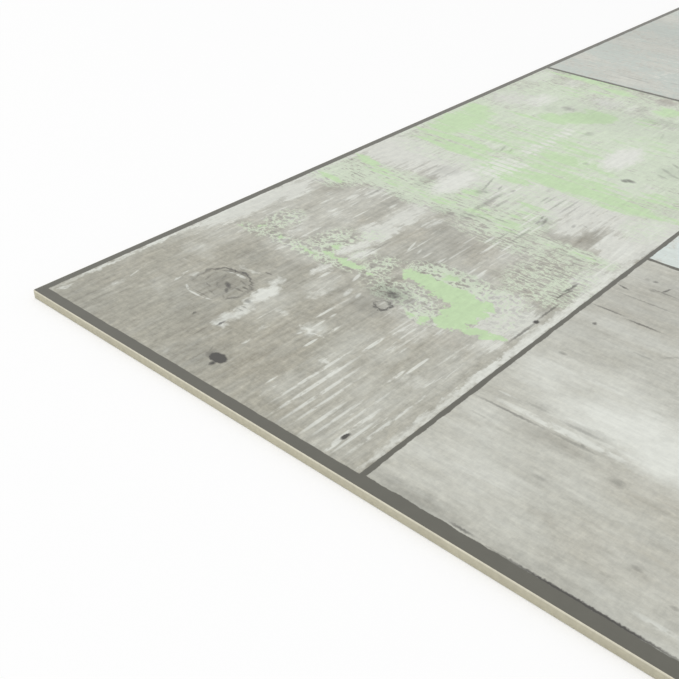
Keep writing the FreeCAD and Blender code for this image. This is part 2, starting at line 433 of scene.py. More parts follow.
GREEN_BOARD_MARKS = {
    # Green paint left whole
    "green": (
        # Round the swirl and the large flake
        (43, 44.9, 4.2, 2.2, 1), (50, 44.2, 8.6, 3, 1.1), (54.9, 41.2, 4, 4.8, 1.3),
        (54.8, 37.4, 3.2, 2.9, 1.1), (51.6, 35, 1.7, 1.8, 0.8, -15), (60, 37.7, 5, 1.5, 0.8, 15),
        (56.2, 44.6, 2.8, 1.9, 0.8), (47.2, 48.4, 4.6, 1.8, 0.45), (36.2, 40.4, 3.2, 0.9, 0.5),
        (32, 40.6, 4.4, 1.4, 0.8), (27.5, 40.5, 3.4, 1.6, 0.55), (22.5, 39.2, 4.6, 1.3, 0.4),
        (15.5, 39.5, 3.6, 1, 0.4, -15), (11.5, 40.4, 2.6, 0.9, 0.35, 15), (26.4, 43.2, 1.5, 3, 0.45, 15),
        (49.5, 34.6, 3.2, 1.1, 0.4, -15), (9, 37.8, 1.8, 0.9, 0.36), (35.5, 46.6, 1.6, 1.1, 0.3),
        # The first band
        (6, 64.4, 4.8, 2.4, 0.66), (5.5, 75.6, 6, 2.4, 0.6, -15), (12, 73.2, 8, 2.4, 0.58, -15),
        (19, 71, 7, 2, 0.42), (28, 70.6, 7, 1.8, 0.42), (30.4, 75.5, 2.8, 5.2, 0.55),
        (37, 71.5, 5, 2.4, 0.5), (43.5, 70.4, 4.6, 3.8, 0.5), (57.5, 69.2, 11, 1, 0.36),
        (43, 79.8, 5, 1.7, 0.5), (43, 76, 3, 3.4, 0.4),
        # The second band
        (33, 88, 6, 2.6, 0.8), (30, 90.5, 9, 1.6, 0.8), (46, 92.2, 25, 3.4, 0.9),
        (44, 95.6, 22, 2.8, 0.62), (16, 93.4, 16, 3, 0.72), (52, 90, 14, 1.8, 0.6),
        (13, 97.2, 14, 1.8, 1), (31, 99.5, 18, 2.8, 0.54), (62, 98.5, 4, 2, 0.4), (42, 98, 14, 3, 0.66),
        (58, 99.5, 4.5, 3.5, 0.62),
        # Further up
        (7, 107, 6.8, 13.5, 0.9), (5, 116, 4.5, 4, 0.8), (14, 107, 4, 6, 0.5),
        (36, 103.5, 11, 4.8, 0.72), (43, 103, 6, 1.5, 0.6), (35, 109, 7, 4, 0.5),
        (20, 102.5, 12, 3, 0.55), (16, 119.4, 9, 1.4, 0.55), (39, 120, 3, 2, 0.5), (20, 144, 6, 2, 0.45),
        (27, 109, 22, 13, 0.4), (46, 122, 8, 9, 0.34), (14, 140, 8, 5, 0.34), (38, 134, 5, 3.5, 0.4),
        (21.8, 122.5, 5, 3.8, 1.1), (25.5, 126, 6.6, 4.4, 1.2, 45), (29.5, 129.8, 4.6, 4.4, 1.1),
        (27, 131.5, 5, 2.6, 0.7), (24, 147.6, 6, 2.8, 0.7), (14, 149.8, 14, 2, 0.6),
        (16, 151.7, 17, 0.8, 0.9), (39, 143, 4, 4.2, 0.8), (17, 139.5, 4, 2.6, 0.4, 15),
    ),
    # Wood laid bare inside the paint
    "bare": (
        (45.6, 38.2, 6, 3, 1, -15), (43, 40.8, 3.3, 1.5, 0.8), (20.7, 130, 2, 1.6, 0.8),
    ),
    # Paint rubbed thin: a net of pale remains near the front, a pale green haze further up
    "thin": (
        # Round the swirl and the large flake
        (48.5, 47.2, 12, 5.2, 0.6), (45, 48.8, 5, 2.4, 0.9), (57.5, 46.5, 7.5, 8.5, 0.28),
        (61.5, 43, 3.5, 5.5, 0.2), (44, 39, 9.5, 4.6, 0.4), (50.5, 36.5, 5, 3.5, 0.45),
        (24.5, 44.5, 5.5, 7.5, 0.4), (23, 39.4, 15, 2.4, 0.42), (12, 45, 4.2, 6.5, 0.36),
        (11, 38.6, 5, 2.6, 0.3), (36, 43, 3.6, 6, 0.38), (31, 44.5, 4.5, 5, 0.2),
        # Up to the first band of paint
        (28, 50.5, 3.6, 4, 0.26), (60, 58.5, 11, 11, 0.36),
        # The first band
        (50, 65.5, 20, 4.5, 0.4), (22, 71.5, 28, 6.5, 0.9), (6, 66.5, 8, 6.5, 0.75),
        (43, 73, 8, 10, 0.8), (57, 69.5, 13, 2.5, 0.7), (31, 77, 5, 8, 0.8), (38, 83, 6, 8, 0.5),
        # The second band
        (40, 86, 9, 6, 0.45), (62.5, 86, 5, 7, 0.45), (14, 88.5, 14, 4.5, 0.3), (27, 90.5, 8, 8, 1),
        (30, 87.5, 8, 4.5, 0.9),
        # Further up
        (34, 121, 90, 36, 1.2),
    ),
    # Where the haze is worn off
    "worn": (
        (7.5, 126, 9.5, 7.5, 1.1), (25, 138.5, 9, 5, 0.8), (33.5, 138, 4, 6, 0.8), (42, 135, 6, 4, 0.7),
        (18, 111, 7, 5, 0.5), (35.5, 114.5, 4, 4, 0.4), (44, 112, 5, 8, 0.5), (4, 137, 4.5, 7, 0.6),
        (11.5, 146, 5, 5, 0.4), (35.5, 149, 3.5, 3, 0.9), (55, 103, 4, 3, 0.4), (20.7, 130, 3, 2.4, 0.8),
    ),
    # Whitewash left whole, with ragged rims
    "white": (
        # The near end, with the knot
        (28.2, 24.2, 2, 3.8, 1.4), (27, 28, 1.2, 2.4, 0.7, 15), (28.2, 21, 1.6, 1.6, 0.9),
        (29.2, 17.8, 1.5, 3.2, 0.85), (28.9, 15.4, 1.4, 2.4, 0.9, -15), (29.4, 13.4, 1.6, 1.3, 1),
        (20.8, 27.8, 2.6, 0.6, 0.4), (15, 20.6, 0.7, 1.2, 0.5), (34, 22, 2, 0.9, 0.3),
        (35, 16.8, 0.7, 1.5, 0.4), (48, 16.9, 1.4, 0.9, 0.5), (41, 21.1, 2.7, 0.6, 0.9),
        (41, 21.8, 2.8, 3, 0.42), (60, 21.5, 2.8, 2.4, 0.32), (3, 4.3, 0.5, 1.9, 0.5),
        # Round the swirl and the large flake
        (34.6, 30.2, 1.5, 3.4, 0.45, -15), (66.5, 42, 1.1, 45, 0.9), (1.8, 30, 0.7, 30, 0.6),
        (28.4, 45, 1.5, 4.6, 0.9, -15), (31.3, 45, 1.2, 3.8, 0.85, -15), (29.2, 36, 1.2, 3.1, 0.9),
        (16.6, 43.4, 1.2, 3.8, 0.5, -15),
        # Up to the first band of paint
        (66, 62, 1.5, 9, 0.45),
        # The first band
        (25.5, 79, 3.6, 8.2, 1.25),
        # The second band
        (42, 98.6, 6, 1.4, 0.4),
        # Further up
        (44, 112, 3.8, 9, 1.3), (13, 130.5, 3.6, 6, 0.8), (12.5, 146, 3, 5, 0.4),
        (31.5, 140, 1.2, 4.4, 0.4), (27.5, 103.8, 3, 2.6, 0.4), (21, 100, 4, 2, 0.5),
        (27, 100, 2.4, 1.7, 0.45), (39.5, 105.5, 2.6, 3, 0.35), (26, 139.5, 5, 5, 0.4),
    ),
    # Whitewash rubbed thin, with soft rims
    "veil": (
        # The near end, with the knot
        (11.5, 26.5, 3.2, 1.5, 0.3), (12.6, 15.5, 1.9, 2.4, 0.22, 15), (14.5, 13.6, 3.8, 0.7, 0.2, -15),
        (8.2, 10.6, 0.5, 1.4, 0.4), (28.9, 3.4, 0.6, 0.9, 0.35), (50.9, 14.5, 2.8, 5, 0.5),
        (58.5, 10, 11, 16, 0.4), (53, 25.5, 4, 5, 0.5), (66.6, 7, 0.9, 7, 0.35), (63, 26, 4, 12, 0.5),
        (48, 20, 4, 6, 0.35), (31.5, 21.5, 4, 7.5, 0.45), (49, 8.5, 4.5, 5, 0.45),
        (48.5, 24.5, 4, 6, 0.4), (8.5, 27.5, 4.5, 3.4, 0.5),
        # Round the swirl and the large flake
        (33, 33, 3.5, 6, 0.45), (3.4, 45, 4.2, 19, 1.05), (7.5, 34, 5, 7, 0.5), (8.5, 46, 3.2, 8, 0.6),
        (17.5, 43, 4, 5, 0.6), (47, 39.5, 5, 5, 0.5), (62.5, 34.5, 3.7, 3.7, 0.6),
        (50, 31, 18, 10, 0.25), (22, 46, 14, 8, 0.45), (62.5, 37, 3.5, 5.5, 0.8),
        (66.2, 31, 1.5, 8, 0.6), (52.5, 31.5, 3.8, 5, 0.7), (15.5, 46, 3.4, 5.5, 0.6),
        (30.5, 43.5, 3, 5, 0.65), (61, 43, 6, 9.5, 1), (57.5, 46, 9, 7, 1), (51, 35.5, 13, 5.5, 0.6),
        (21.5, 39, 10, 5.5, 0.6), (14, 47.5, 8, 5, 0.55),
        # Up to the first band of paint
        (16.8, 52, 5.2, 11, 0.5), (4, 63, 5, 12, 0.75), (28.6, 52.5, 3.4, 8, 1), (49, 60.5, 4.5, 9, 0.6),
        (50, 51.5, 9, 3.5, 0.6), (15, 60, 8, 8, 0.6), (27.5, 60, 4, 7, 1), (4.5, 55, 5, 8, 0.95),
        (17, 53, 9, 6, 0.55), (33, 62, 2, 4.5, 0.75), (26, 52.5, 3, 4, 0.9),
        # The first band
        (2, 76, 0.8, 90, 1), (17, 65, 5, 6, 0.7), (27.5, 65, 4.6, 6.4, 0.8), (34, 66, 60, 40, 0.36),
        (52, 77, 5, 6, 0.9), (38, 79, 12, 7, 0.8), (58.5, 84, 4, 5, 1), (11.5, 82, 12, 10, 0.9),
        (63.5, 78, 4.5, 13, 1.15), (52, 83, 8, 9, 0.9), (33, 82, 3, 8, 0.8), (47.5, 80, 3.5, 6, 0.95),
        (60.2, 77, 2.2, 6.5, 1), (63.5, 76, 4, 9, 1.4), (64, 64.5, 4, 9, 0.85), (64, 85, 5.5, 13, 1.3),
        (8, 84, 14, 12, 1.1),
        # The second band
        (34, 86.5, 60, 15, 0.9),
        # Further up
        (30, 120, 50, 40, 0.7), (4.5, 132, 4.2, 16, 0.6), (50, 100, 14, 8, 1), (3.5, 145, 5, 9, 0.9),
        (7.5, 127, 10, 9, 0.95), (25, 139, 8, 4, 0.8),
    ),
    # Single strokes of whitewash
    "white strokes": LADDERS + (
        # The near end, with the knot
        (39, 28.6, 38.9, 24.4, 0.5, 0.9), (40.5, 27.4, 40.5, 25.9, 0.4, 0.7),
        (40.4, 25, 40.6, 21.6, 0.5, 0.8), (43.1, 20.4, 43, 17.3, 0.5, 0.9),
        (43.4, 25.2, 43.2, 22.2, 0.5, 0.6), (40.3, 20.8, 40, 19.2, 0.5, 0.7),
        (50, 27.4, 50.4, 22.3, 0.6, 1), (46.9, 8.4, 46.8, 4.6, 0.5, 0.9),
        (45.4, 9.8, 45.3, 7.4, 0.35, 0.6), (58.2, 28.2, 58.5, 21.4, 0.5, 0.9),
        (57.7, 22.8, 57.7, 19, 0.55, 0.9), (61, 5.4, 61.3, 2.1, 0.6, 1), (7.1, 18, 8.1, 11, 0.35, 0.4),
        (35.8, 13.6, 35.8, 12, 0.6, 0.7), (16.6, 17.6, 18.4, 16.85, 0.4, 1),
        (18.2, 16.8, 21.3, 16.6, 0.42, 0.9), (21.2, 16.7, 23.4, 17.2, 0.25, 0.6),
        (13.5, 21.8, 13.7, 19.6, 0.3, 0.6), (13.6, 20, 14.3, 17.3, 0.6, 0.9),
        (18.3, 25, 20.2, 25.4, 0.3, 0.6), (20.3, 25.5, 22.3, 25.3, 0.6, 1),
        (9.5, 23, 12.6, 23, 0.3, 0.35), (48.8, 23, 49, 4, 0.55, 0.75), (50.6, 22, 50.8, 2.1, 0.65, 0.8),
        (52.5, 20, 52.7, 2.1, 0.6, 0.75), (54.1, 19.5, 54.3, 2.1, 0.5, 0.6),
        (56.3, 12, 56.5, 2.1, 0.6, 0.75), (57.7, 14, 57.9, 2.3, 0.5, 0.55),
        (59.4, 19, 59.5, 4, 0.45, 0.5), (60.7, 15, 60.9, 2.1, 0.6, 0.7), (61.9, 12, 62.1, 2.1, 0.5, 0.7),
        (63.4, 19, 63.7, 3, 0.6, 0.75), (53.4, 33, 53.4, 24, 0.4, 0.35), (39, 33, 39.1, 24, 0.45, 0.4),
        # Round the swirl and the large flake
        (35.3, 39.3, 35.7, 36.6, 0.6, 0.9), (37.4, 34.6, 37.8, 32.2, 0.9, 0.6),
        (39.3, 34.5, 39.6, 33, 0.6, 0.6), (31, 37.2, 31.1, 33.6, 0.6, 0.8), (49.9, 36, 50, 28, 0.4, 0.4),
        (60.4, 34, 60.4, 26, 0.4, 0.35),
        # Up to the first band of paint
        (35.2, 54.4, 35.9, 50.4, 0.45, 0.8), (37.5, 53, 37.9, 50.5, 0.4, 0.6),
        (39.3, 53.4, 39.6, 50.2, 0.4, 0.6), (42.2, 53.4, 42.6, 49.4, 0.45, 0.8),
        (48.4, 55, 48.2, 51, 0.4, 0.7), (49.8, 54.6, 49.9, 51.2, 0.4, 0.8),
        (44.2, 65.2, 44, 62, 0.5, 0.8), (45.8, 65, 45.8, 58, 0.5, 0.8), (48.1, 65, 48, 61, 0.4, 0.7),
        (23.1, 64, 23.2, 59.4, 0.6, 0.9), (7, 58.4, 7.1, 51.2, 0.7, 0.8), (12.4, 58, 12.6, 54, 0.6, 0.6),
        (16, 55.2, 16.2, 52.4, 0.6, 0.6), (20.8, 58.5, 20.9, 53, 0.4, 0.6),
        (36.2, 58, 36.3, 49, 0.35, 0.6), (43, 61, 43, 50, 0.35, 0.5), (41.6, 64, 41.6, 58, 0.4, 0.5),
        (30.6, 66, 30.6, 61, 0.4, 0.5),
        # The first band
        (16.2, 66.5, 16.2, 62, 0.5, 0.6), (13.8, 66, 13.8, 62, 0.4, 0.5),
        (60.4, 86, 60.5, 74, 0.45, 0.5), (46.2, 89, 46.2, 82, 0.4, 0.6),
        (45.2, 78.5, 45.3, 71, 0.45, 0.7), (46.7, 79, 46.7, 67, 0.5, 0.8),
        (47.9, 78, 47.9, 70, 0.4, 0.6), (43.9, 78, 43.9, 73, 0.4, 0.5), (34.5, 85, 34.4, 77, 0.6, 0.8),
        (36.3, 87.5, 36.2, 79.5, 0.5, 0.7), (58.9, 83, 58.9, 71.5, 0.8, 0.7),
        (18.8, 67.8, 18.8, 63, 0.45, 0.6), (20.2, 67, 20.3, 62, 0.4, 0.5),
        (14.4, 83, 14.2, 75, 0.45, 0.5), (16.9, 82, 16.8, 74, 0.45, 0.5), (55.3, 86, 55.3, 78, 0.4, 0.5),
        (62.4, 84, 62.4, 75, 0.4, 0.5), (64, 72.5, 64.2, 62, 0.4, 0.6),
        # The second band
        (44.8, 89, 44.8, 83, 0.4, 0.5),
    ),
    # Stains, and shade round knots and cracks
    "shade": (
        # The near end, with the knot
        (20.9, 21.6, 5.2, 4.8, 1), (21, 14, 7, 2.6, 0.35), (33, 5.5, 6.5, 5.5, 0.55),
        (27.5, 11, 3.5, 4, 0.4), (29.5, 29, 2.5, 3, 0.3), (41, 12.5, 2.5, 3.5, 0.25),
        (38, 16.8, 2.2, 1.2, 0.3), (42.5, 28, 3.5, 3.5, 0.4), (25, 13.5, 7, 4.5, 0.5),
        (9, 3.5, 9, 4.5, 0.4), (17, 18.5, 4, 5, 0.5),
        # Round the swirl and the large flake
        (43, 37.6, 5, 3.6, 1.25), (42.5, 32.5, 4.5, 3.5, 0.9), (36.5, 32.5, 2.5, 3, 0.4),
        (18, 31.5, 5, 3, 0.4), (25.5, 33.5, 3, 3, 0.5), (25.5, 31, 2.5, 2.5, 0.35),
        # Up to the first band of paint
        (64, 56.5, 1.6, 4, 0.4), (22, 63.5, 1.9, 4.5, 0.5), (22.5, 57, 2, 3, 0.4), (41, 58, 6, 5, 0.8),
        (36.5, 61, 5.5, 3.6, 0.7), (10.3, 61, 3, 3.4, 0.6), (39, 53, 5.5, 6.5, 0.5),
        (49, 50.5, 4, 3, 0.3),
        # The first band
        (35.3, 76, 1, 6.5, 0.9), (20.5, 76.5, 1.8, 5, 0.6), (21, 82.5, 3.5, 3.5, 0.5),
        (56.8, 76, 2.2, 5.4, 0.85), (47.3, 76, 2, 3, 0.6), (52.5, 72.5, 3.5, 2, 0.4),
        (31.5, 79.5, 1.8, 2.2, 0.5), (32.5, 67.5, 5, 2.6, 0.4), (36, 69.5, 4, 1.4, 0.5),
        (66.6, 77, 1.2, 4, 0.5),
        # The second band
        (22.7, 99.5, 1.2, 2.6, 0.4),
        # Further up
        (54.5, 112.5, 3.5, 4, 0.45), (32, 119.4, 1.2, 1.6, 0.5), (20.7, 129.8, 2.2, 1.6, 0.6),
        (23.2, 137.5, 1.4, 4, 0.4), (33.7, 141, 1.2, 3.4, 0.5), (35.5, 149.5, 2.5, 1.8, 0.6),
        (46, 130, 4, 5, 0.3), (30, 131, 17, 9, 0.35), (41, 136.4, 7, 3, 0.65), (18, 127.5, 3, 3, 0.5),
        (25, 138.5, 7, 4, 0.4), (7, 129, 8, 8, 0.16),
    ),
    # Browner wood
    "brown": (
        (44, 58.6, 9.5, 5.2, 0.6), (37.5, 61.5, 4.5, 3, 0.45), (10.3, 61, 3, 3.4, 0.55),
        (56.3, 75.5, 2.6, 5.4, 0.7), (21.5, 54.5, 5, 2, 0.6), (33, 57, 2.6, 6, 0.5),
        (46, 29, 16, 5, 0.4), (36, 12, 12, 10, 0.3), (35.6, 77, 1.6, 6.5, 0.8),
        (20.5, 76.5, 1.6, 5, 0.6), (58, 33, 5, 2.6, 0.6), (36, 150, 2.6, 2, 0.9),
    ),
    # Nail holes and dark specks
    "dark": (
        (35.9, 7.1, 1.8, 1.2, 2.6), (34.8, 7, 1.4, 1, 0.6), (36.3, 5.7, 0.5, 0.9, 1),
        (43.4, 37.6, 1.6, 1.2, 0.6), (61.15, 6.2, 0.42, 1.05, 1.4), (50.4, 102.9, 1.5, 0.9, 0.75),
        (49.7, 102.3, 1, 0.9, 0.75), (27.9, 20.7, 0.85, 0.65, 0.6), (32.3, 12.7, 0.5, 0.6, 0.3),
        (64.55, 46.2, 0.55, 0.7, 1.4), (43.1, 37.9, 1.2, 0.7, 0.9), (44, 37.2, 0.6, 0.6, 0.7),
        (31.5, 78.7, 1.1, 1, 0.25), (32.4, 79.4, 0.55, 0.45, 0.4), (32, 119.2, 0.9, 1.4, 0.18),
        (20.9, 129.9, 2.2, 1.3, 0.26), (39.8, 104.6, 0.9, 0.9, 0.25),
    ),
    # Cracks and scratches
    "dark strokes": (
        # The near end, with the knot
        (21, 22.6, 22.7, 21.5, 0.8, 0.9), (24, 23.3, 25.3, 23.2, 0.45, 0.8),
        (23.2, 22.3, 25.2, 22.1, 0.4, 0.6), (17.7, 24.6, 19.8, 26, 0.6, 0.6),
        (19.6, 25.9, 22.6, 26.2, 0.5, 0.6), (15.8, 21, 16.3, 23.6, 0.3, 0.35),
        (24.8, 18.7, 25.8, 20.9, 0.6, 0.6), (22.4, 21.2, 23.4, 20.3, 0.6, 0.7),
        (17.2, 22.8, 18, 20.4, 0.35, 0.4), (19.2, 24.4, 19.6, 22.6, 0.35, 0.4),
        (18.6, 20.2, 20.4, 19.8, 0.35, 0.4), (22, 24.4, 24.2, 24, 0.4, 0.45),
        (20.4, 19, 22.6, 18.6, 0.35, 0.4), (18, 17.5, 23, 17.3, 0.3, 0.4),
        (23.3, 29.1, 24.8, 29.1, 0.45, 0.6), (19.8, 21.6, 20.6, 20.8, 0.4, 0.35),
        (23.4, 19.4, 24.4, 18.8, 0.35, 0.35), (24.1, 13.1, 24.3, 12.5, 0.45, 0.7),
        (29.5, 14.5, 29.3, 12.7, 0.5, 0.9), (28.9, 12.2, 28.4, 8.4, 0.3, 0.4),
        (28.1, 19.2, 29.1, 19.1, 0.4, 0.5), (28, 18.2, 29.4, 18.2, 0.35, 0.4),
        (33.9, 7.4, 33, 8.6, 0.4, 0.3), (33.2, 7.2, 33.3, 3.2, 0.3, 0.3), (16, 12.5, 16.2, 5, 0.4, 0.15),
        (18.2, 12.5, 18.2, 9, 0.3, 0.15),
        # Round the swirl and the large flake
        (64.5, 47, 64.7, 37.5, 0.45, 0.7), (41.2, 38.5, 43, 38, 0.5, 0.4),
        (40.4, 37, 42.4, 37.3, 0.4, 0.3), (31.3, 52.5, 31.9, 44, 0.3, 0.4),
        (33, 45, 32.8, 42, 0.35, 0.3),
        # Up to the first band of paint
        (64.3, 53.4, 64.5, 46.8, 0.45, 0.75), (63.2, 60.8, 63.5, 58, 0.45, 0.75),
        (63.4, 58.6, 62.9, 56.8, 0.5, 0.8), (63.8, 58.2, 63.5, 56.6, 0.4, 0.75),
        (63.2, 56.2, 63.4, 54.3, 0.4, 0.8),
        # The first band
        (30.1, 86.4, 31.2, 79.2, 0.5, 0.42), (33.2, 84, 33.6, 81.6, 0.45, 0.4),
        (35.2, 81, 35.2, 71.4, 1, 0.14), (36, 84, 36.1, 82.8, 0.7, 0.4),
        (46.2, 78, 46.4, 76.6, 0.5, 0.5), (47.2, 78, 47.8, 74.4, 0.6, 0.5),
        (46.6, 76, 46.8, 74.4, 0.5, 0.5), (39.5, 71.4, 43, 71.2, 0.5, 0.4),
        (42.6, 86, 42.5, 82.5, 0.5, 0.3), (47.6, 89, 47.7, 80, 0.5, 0.35),
        (52.2, 78.8, 52.4, 77.6, 0.6, 0.4), (54.5, 68, 60, 68.2, 0.45, 0.3),
        (34.8, 69.4, 37.4, 69.2, 0.7, 0.4), (15.6, 83, 15.6, 77, 0.5, 0.22),
        (17.9, 84, 17.8, 76, 0.5, 0.26), (19.5, 85, 19.5, 78, 0.7, 0.24), (22.2, 84.6, 22, 77, 0.5, 0.2),
        (37.5, 80.4, 37.4, 74, 0.7, 0.26), (43.5, 87.4, 43.4, 82, 0.4, 0.3),
        (45.5, 88, 45.5, 80, 0.4, 0.32), (48.9, 88, 48.9, 80, 0.4, 0.26),
        (51.3, 86.5, 51.3, 80.5, 0.4, 0.2), (47.3, 72, 47.3, 65, 0.5, 0.35), (45, 70, 45, 62, 0.45, 0.3),
        (16.8, 67.6, 16.8, 62, 0.5, 0.25), (19.5, 68, 19.5, 63, 0.5, 0.25), (22, 68, 22, 62, 0.5, 0.25),
        (53.4, 79.6, 54.6, 79.4, 0.4, 0.3), (37, 69.9, 40, 69.8, 0.4, 0.4),
        (44, 68.6, 48.6, 68.4, 0.4, 0.35), (33.6, 68.2, 37, 68, 0.4, 0.35),
        # The second band
        (22.4, 101.5, 23.2, 97.8, 0.5, 0.3), (24.4, 101, 24.8, 98.6, 0.4, 0.25),
        # Further up
        (52.4, 113, 55, 111.4, 0.9, 0.3), (54.8, 111.2, 57.6, 110.4, 0.9, 0.3),
        (52.8, 116.6, 55.2, 115.2, 0.8, 0.35), (53, 109.6, 55.4, 108.8, 0.7, 0.3),
        (44.2, 131, 44.8, 127, 0.6, 0.2),
    ),
    "rings": (KNOT, SWIRL),
}

WASHED_BOARD_MARKS = {
    "veil": (
        (88, 32, 14, 6.5, 0.95), (94, 30.5, 9, 6, 1.1), (76, 12, 14, 9, 0.2), (74, 35.5, 7, 5, 0.6),
        (80, 40, 11, 5, 0.35), (76, 53, 11, 3, 0.4), (71, 22.5, 4.5, 2.6, 0.35), (75, 18, 7, 3, 0.3),
    ),
    "white strokes": (
        (70, 26.4, 94, 25.7, 1.2, 0.75), (79.5, 29, 86.4, 28.9, 0.5, 0.7),
        (70, 13.3, 76, 13.4, 0.4, 0.25), (70, 38.4, 90, 38.5, 0.7, 0.35), (102, 5.1, 108, 4.7, 0.8, 0.5),
        (70, 27.9, 73.4, 27.7, 0.4, 0.5), (72, 11.6, 82, 11.4, 0.5, 0.2), (85, 27.4, 97, 27.2, 0.8, 0.5),
        (76, 25.6, 84, 25.5, 0.5, 0.6),
    ),
    "shade": (
        (72, 48.5, 8, 4.5, 0.35), (77, 57, 12, 2.4, 0.45), (96, 3.6, 12, 1.6, 0.4),
        (75, 60.5, 12, 3.8, 0.6), (80, 23.2, 8, 1.9, 0.7), (91.5, 21.8, 1.6, 1.2, 0.7),
        (96.5, 20.8, 2, 1.6, 0.35), (100, 11, 7, 2.4, 0.35), (88, 10.9, 2.6, 1.2, 0.5),
        (83.5, 15.5, 3, 1.6, 0.3), (99, 15.5, 3, 2, 0.25), (76, 28.9, 3, 1.2, 0.35),
        (84, 28.3, 4.5, 1, 0.45), (72, 27.4, 2.5, 0.9, 0.4), (96, 6, 6, 2.4, 0.25),
        (76, 3.8, 2.2, 1.5, 0.35), (92, 33.5, 1.2, 0.9, 0.25), (88, 43.5, 6, 1.5, 0.25),
        (76, 42.5, 6, 1.1, 0.3), (82, 3.4, 3, 0.9, 0.3), (74, 3.2, 10, 1.9, 0.75),
        (93, 3.2, 12, 1.3, 0.5), (78, 47.5, 13, 4, 0.25), (78, 68, 12, 8, 0.5), (76, 61, 12, 15, 0.45),
    ),
    "brown": (
        (96, 22, 10, 6, 0.8), (100, 11, 12, 6, 0.8), (78, 60.5, 12, 12, 0.8), (80, 23, 7, 2.2, 0.6),
        (88, 10.8, 2.4, 1, 0.8), (91.6, 21.8, 1.5, 1.2, 1),
    ),
    "dark": (
        (91.5, 21.8, 1.2, 0.9, 0.2), (99.7, 10.7, 0.9, 0.5, 0.35), (105.4, 8.3, 0.8, 0.35, 0.35),
        (71.4, 51.9, 0.45, 0.5, 0.8), (72, 41.6, 0.8, 0.5, 0.4), (72.5, 69.8, 0.6, 0.45, 0.6),
        (71.1, 69.6, 0.6, 0.8, 0.25), (73.4, 66.9, 0.8, 0.6, 0.35), (76, 4.2, 0.9, 0.9, 0.2),
    ),
    "dark strokes": (
        (68, 24.8, 80, 24.8, 0.5, 0.55), (79.5, 24.9, 87.5, 24.7, 0.5, 0.36),
        (84.4, 25.4, 85.2, 24.6, 0.5, 0.4), (80, 27.8, 86.6, 27.6, 0.7, 0.32),
        (69.6, 21.6, 72.6, 21.5, 0.4, 0.2), (83, 16.2, 85, 16.2, 0.6, 0.2),
        (68, 57, 74.2, 56.7, 0.45, 0.65), (74, 56.5, 80.5, 56.2, 0.5, 0.75),
        (68.4, 65, 70.5, 64.5, 0.45, 0.8), (69, 63, 80, 62.7, 0.4, 0.4),
        (75.4, 69.6, 74.8, 67.2, 0.4, 0.8), (72.4, 67.3, 77.8, 67.4, 0.35, 0.55),
        (80.2, 2.5, 83.6, 2.9, 0.5, 0.7), (84.5, 2.3, 112, 2.4, 0.55, 1.2),
        (79, 48.8, 83, 48.8, 0.35, 0.25), (83, 50, 85, 52, 0.45, 0.25), (74, 28.2, 78, 28, 0.6, 0.28),
    ),
}

GREY_BOARD_MARKS = {
    "veil": ((28, 167, 6, 4.5, 0.5),),
    "shade": ((9, 198, 26, 26, 0.36),),
    "dark": ((31, 163, 1.6, 0.8, 0.15),),
    "dark strokes": ((17, 160, 26, 159.4, 0.8, 0.2),),
}

# From where to where up the green board, in millimetres, its paint changes: its lines come to lie
# across the grain, its net turns to haze, and the rims of what is left whole get softer
SAWN = (48.0, 58.0)
HAZY = (60.0, 80.0)
SOFTER = (64.0, 84.0)

# Noises of the print: the length and width in millimetres to which each is drawn out, its detail and
# roughness, and a shift that keeps it apart from the others
NOISES = {
    # Along and across the grain
    "tint": (16.0, 7.0, 4.0, 0.6, 0.0),
    "blotches": (1.9, 1.1, 6.0, 0.8, 11.0),
    "grain lines": (14.0, 0.9, 4.0, 0.65, 3.0),
    "saw marks": (0.6, 2.2, 4.0, 0.7, 7.0),
    "smears": (12.0, 4.5, 5.0, 0.6, 23.0),
    "streaks": (7.0, 0.7, 4.0, 0.6, 17.0),
    "furrows": (7.0, 0.95, 5.0, 0.66, 19.0),
    "dashes": (3.0, 1.5, 3.0, 0.6, 43.0),
    "rough rims": (2.6, 0.9, 5.0, 0.65, 29.0),
    "paint spread": (30.0, 12.0, 5.0, 0.6, 41.0),
    # Along u and v
    "cells": (1.9, 1.4, 4.0, 0.6, 35.0),
    "flakes": (2.4, 1.8, 6.0, 0.68, 31.0),
    "rungs": (3.8, 0.9, 5.0, 0.66, 37.0),
    "bands": (9.0, 1.2, 6.0, 0.66, 39.0),
    "fray": (3.0, 3.0, 5.0, 0.65, 53.0),
}


# Patterns

def drawn_noise(tree, where, name):
    """One of the print's noises, about 0.5, read at this place in millimetres."""
    length, width, detail, roughness, shift = NOISES[name]
    scaled = add(tree, MAPPING, {
        "Vector": where, "Location": (shift, 1.7 * shift, 0.0), "Scale": (1.0 / length, 1.0 / width, 0.0)})
    return add(tree, NOISE, {
        "Vector": scaled, "Scale": 1.0, "Detail": detail, "Roughness": roughness}, noise_dimensions="2D")


def noise_sum(tree, base, *terms):
    """A base value, raised and lowered by noises about 0.5, each to its own depth."""
    total = base - sum(depth for _, depth in terms) / 2.0
    for noise, depth in terms:
        total = add(tree, MATH, {0: noise, 1: depth, 2: total}, operation="MULTIPLY_ADD")
    return total


def gated(tree, mask, field, steepness):
    """A mask that fades to nothing where the field does."""
    gate = add(tree, MATH, {0: field, 1: steepness}, operation="MULTIPLY", use_clamp=True)
    return add(tree, MATH, {0: mask, 1: gate}, operation="MULTIPLY", use_clamp=True)


